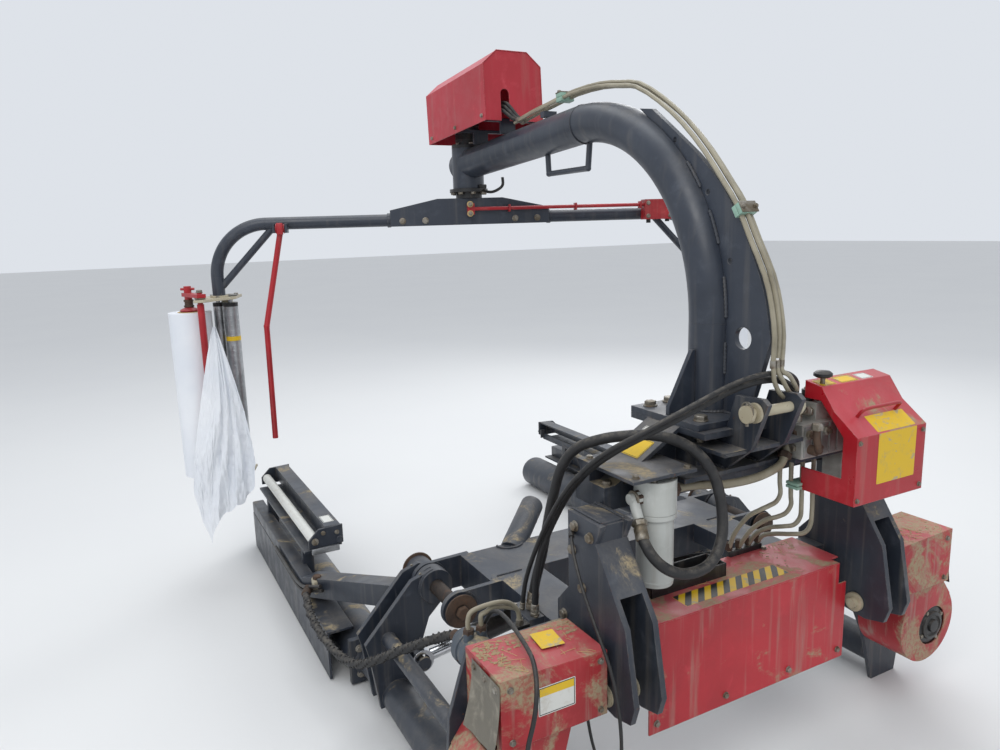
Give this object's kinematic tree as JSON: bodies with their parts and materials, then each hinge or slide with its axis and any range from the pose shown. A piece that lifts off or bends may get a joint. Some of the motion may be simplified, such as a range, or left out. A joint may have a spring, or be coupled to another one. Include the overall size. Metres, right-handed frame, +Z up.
{
  "type": "mounted satellite bale wrapper",
  "caption": "Tractor-mounted bale wrapper: goose-neck mast with rotating twin film arms over a low frame whose side arms carry driven bale rollers and film clamps.",
  "frame": {"origin": "on the ground under the middle of the machine's bounding box", "axes": "+Z up, +Y from the three-point hitch to the rear, +X to the machine's left side"},
  "size_m": [2.2592, 2.429, 2.0335],
  "materials": {
    "paint_grey": "worn slate-grey gloss paint",
    "paint_red": "faded red paint with dried mud",
    "cream_metal": "cream enamel, grubby",
    "pipe_cream": "cream painted steel pipe",
    "black_metal": "black paint, greasy",
    "roller_steel": "galvanised, scuffed",
    "rusty_pin": "brown surface rust",
    "filter_white": "off-white enamel",
    "valve_steel": "oily machined block",
    "rod_chrome": "hard chrome",
    "film_white": "white stretch film",
    "hose_black": "black hydraulic hose",
    "motor_blue": "flaking blue-grey motor paint"
  },
  "bodies": {
    "root": {"main_frame": "paint_grey", "hitch_bracket_right": "paint_grey", "hitch_bracket_left": "paint_grey", "lower_hitch_pins": "cream_metal", "top_link_pin": "cream_metal", "mast_pedestal": "paint_grey", "mast": "paint_grey", "mast_fin": "paint_grey", "mast_brackets": "paint_grey", "mast_pipes": "pipe_cream", "motor_cover": "paint_red", "rotor_motor": "black_metal", "front_cover": "paint_red", "oil_filter": "filter_white", "valve_block": "valve_steel", "valve_cover": "paint_red", "arm_pivot_pins": "rusty_pin", "filter_hose": "hose_black", "main_hose": "hose_black", "thin_hose": "hose_black", "cover_cable": "hose_black"},
    "satellite": {"rotor_hub": "black_metal", "satellite_beam": "paint_grey", "film_arm_right": "paint_grey", "film_arm_left": "paint_grey", "trip_rod": "paint_red", "film_head_right": "cream_metal", "film_head_left": "cream_metal", "film_tail": "film_white"},
    "roll_carrier_right": {"roll_carrier_right": "paint_red"},
    "film_roll_right": {"film_roll_right": "film_white"},
    "stretch_outer_right": {"stretch_roller_outer_right": "roller_steel"},
    "stretch_inner_right": {"stretch_roller_inner_right": "roller_steel"},
    "safety_bar_right": {"safety_bar_right": "paint_red"},
    "arm_right": {"roller_arm_right": "paint_grey", "drive_cover_right": "paint_red", "drive_motor_right": "motor_blue", "clamp_beam_right": "paint_grey", "wrapped_hose": "hose_black", "lead_cable": "hose_black"},
    "clamp_jaw_right": {"clamp_jaw_right": "paint_grey"},
    "bale_roller_right": {"bale_roller_right": "paint_grey"},
    "lift_barrel_right": {"lift_barrel_right": "black_metal"},
    "lift_rod_right": {"lift_rod_right": "rod_chrome"},
    "roll_carrier_left": {"roll_carrier_left": "paint_red"},
    "film_roll_left": {"film_roll_left": "film_white"},
    "stretch_outer_left": {"stretch_roller_outer_left": "roller_steel"},
    "stretch_inner_left": {"stretch_roller_inner_left": "roller_steel"},
    "arm_left": {"roller_arm_left": "paint_grey", "drive_cover_left": "paint_red", "drive_motor_left": "motor_blue", "clamp_beam_left": "paint_grey"},
    "clamp_jaw_left": {"clamp_jaw_left": "paint_grey"},
    "bale_roller_left": {"bale_roller_left": "paint_grey"},
    "lift_barrel_left": {"lift_barrel_left": "black_metal"},
    "lift_rod_left": {"lift_rod_left": "rod_chrome"}
  },
  "joints": [
    {"name": "satellite_turn", "type": "hinge", "parent": "root", "child": "satellite", "pos_m": [0, 0.4495, 1.589], "axis": [0, 0, 1], "continuous": true, "deforming": ["film_tail"]},
    {"name": "carrier_swing_right", "type": "hinge", "parent": "satellite", "child": "roll_carrier_right", "pos_m": [-1.02002, 0.72285, 0.462], "axis": [0, 0, 1], "range_deg": [0, 60]},
    {"name": "film_roll_spin_right", "type": "hinge", "parent": "roll_carrier_right", "child": "film_roll_right", "pos_m": [-1.04964, 0.83154, 0.835], "axis": [0, 0, 1], "continuous": true},
    {"name": "stretch_outer_spin_right", "type": "hinge", "parent": "satellite", "child": "stretch_outer_right", "pos_m": [-0.93822, 0.85696, 0.837], "axis": [0, 0, 1], "continuous": true},
    {"name": "stretch_inner_spin_right", "type": "hinge", "parent": "satellite", "child": "stretch_inner_right", "pos_m": [-0.89731, 0.8144, 0.837], "axis": [0, 0, 1], "continuous": true},
    {"name": "safety_bar_swing_right", "type": "hinge", "parent": "satellite", "child": "safety_bar_right", "pos_m": [-0.71179, 0.65749, 1.454], "axis": [0.9397, -0.342, 0], "range_deg": [-25, 25]},
    {"name": "arm_close_right", "type": "hinge", "parent": "root", "child": "arm_right", "pos_m": [-0.576, -0.3975, 0.395], "axis": [0, -1, 0], "range_deg": [-3, 40]},
    {"name": "bale_roller_spin_right", "type": "hinge", "parent": "arm_right", "child": "bale_roller_right", "pos_m": [-0.71, 0.4855, 0.078], "axis": [0, 1, 0], "continuous": true},
    {"name": "clamp_open_right", "type": "hinge", "parent": "arm_right", "child": "clamp_jaw_right", "pos_m": [-0.686, 0.6455, 0.338], "axis": [0, 1, 0], "range_deg": [0, 50]},
    {"name": "lift_barrel_tilt_right", "type": "hinge", "parent": "root", "child": "lift_barrel_right", "pos_m": [-0.22, -0.4925, 0.29], "axis": [0, -1, 0], "range_deg": [-1, 8]},
    {"name": "lift_rod_slide_right", "type": "slide", "parent": "lift_barrel_right", "child": "lift_rod_right", "axis": [-0.9895, 0, -0.1445], "range_m": [-0.127, 0.012]},
    {"name": "carrier_swing_left", "type": "hinge", "parent": "satellite", "child": "roll_carrier_left", "pos_m": [1.02002, 0.17615, 0.462], "axis": [0, 0, 1], "range_deg": [0, 60]},
    {"name": "film_roll_spin_left", "type": "hinge", "parent": "roll_carrier_left", "child": "film_roll_left", "pos_m": [1.04964, 0.06746, 0.835], "axis": [0, 0, 1], "continuous": true},
    {"name": "stretch_outer_spin_left", "type": "hinge", "parent": "satellite", "child": "stretch_outer_left", "pos_m": [0.93822, 0.04204, 0.837], "axis": [0, 0, 1], "continuous": true},
    {"name": "stretch_inner_spin_left", "type": "hinge", "parent": "satellite", "child": "stretch_inner_left", "pos_m": [0.89731, 0.0846, 0.837], "axis": [0, 0, 1], "continuous": true},
    {"name": "arm_close_left", "type": "hinge", "parent": "root", "child": "arm_left", "pos_m": [0.576, -0.3975, 0.395], "axis": [0, 1, 0], "range_deg": [-3, 40]},
    {"name": "bale_roller_spin_left", "type": "hinge", "parent": "arm_left", "child": "bale_roller_left", "pos_m": [0.71, 0.4855, 0.078], "axis": [0, 1, 0], "continuous": true},
    {"name": "clamp_open_left", "type": "hinge", "parent": "arm_left", "child": "clamp_jaw_left", "pos_m": [0.686, 0.6455, 0.338], "axis": [0, -1, 0], "range_deg": [0, 50]},
    {"name": "lift_barrel_tilt_left", "type": "hinge", "parent": "root", "child": "lift_barrel_left", "pos_m": [0.22, -0.4925, 0.29], "axis": [0, 1, 0], "range_deg": [-1, 8]},
    {"name": "lift_rod_slide_left", "type": "slide", "parent": "lift_barrel_left", "child": "lift_rod_left", "axis": [0.9895, 0, -0.1445], "range_m": [-0.127, 0.012]}
  ],
  "couplings": [
    {"joint": "stretch_outer_spin_right", "follows": "stretch_inner_spin_right", "ratio": -1.1},
    {"joint": "lift_barrel_tilt_right", "follows": "arm_close_right", "ratio": 0.1772},
    {"joint": "lift_rod_slide_right", "follows": "arm_close_right", "m_per_rad": -0.1779},
    {"joint": "stretch_outer_spin_left", "follows": "stretch_inner_spin_left", "ratio": -1.1},
    {"joint": "lift_barrel_tilt_left", "follows": "arm_close_left", "ratio": 0.1772},
    {"joint": "lift_rod_slide_left", "follows": "arm_close_left", "m_per_rad": -0.1779}
  ]
}
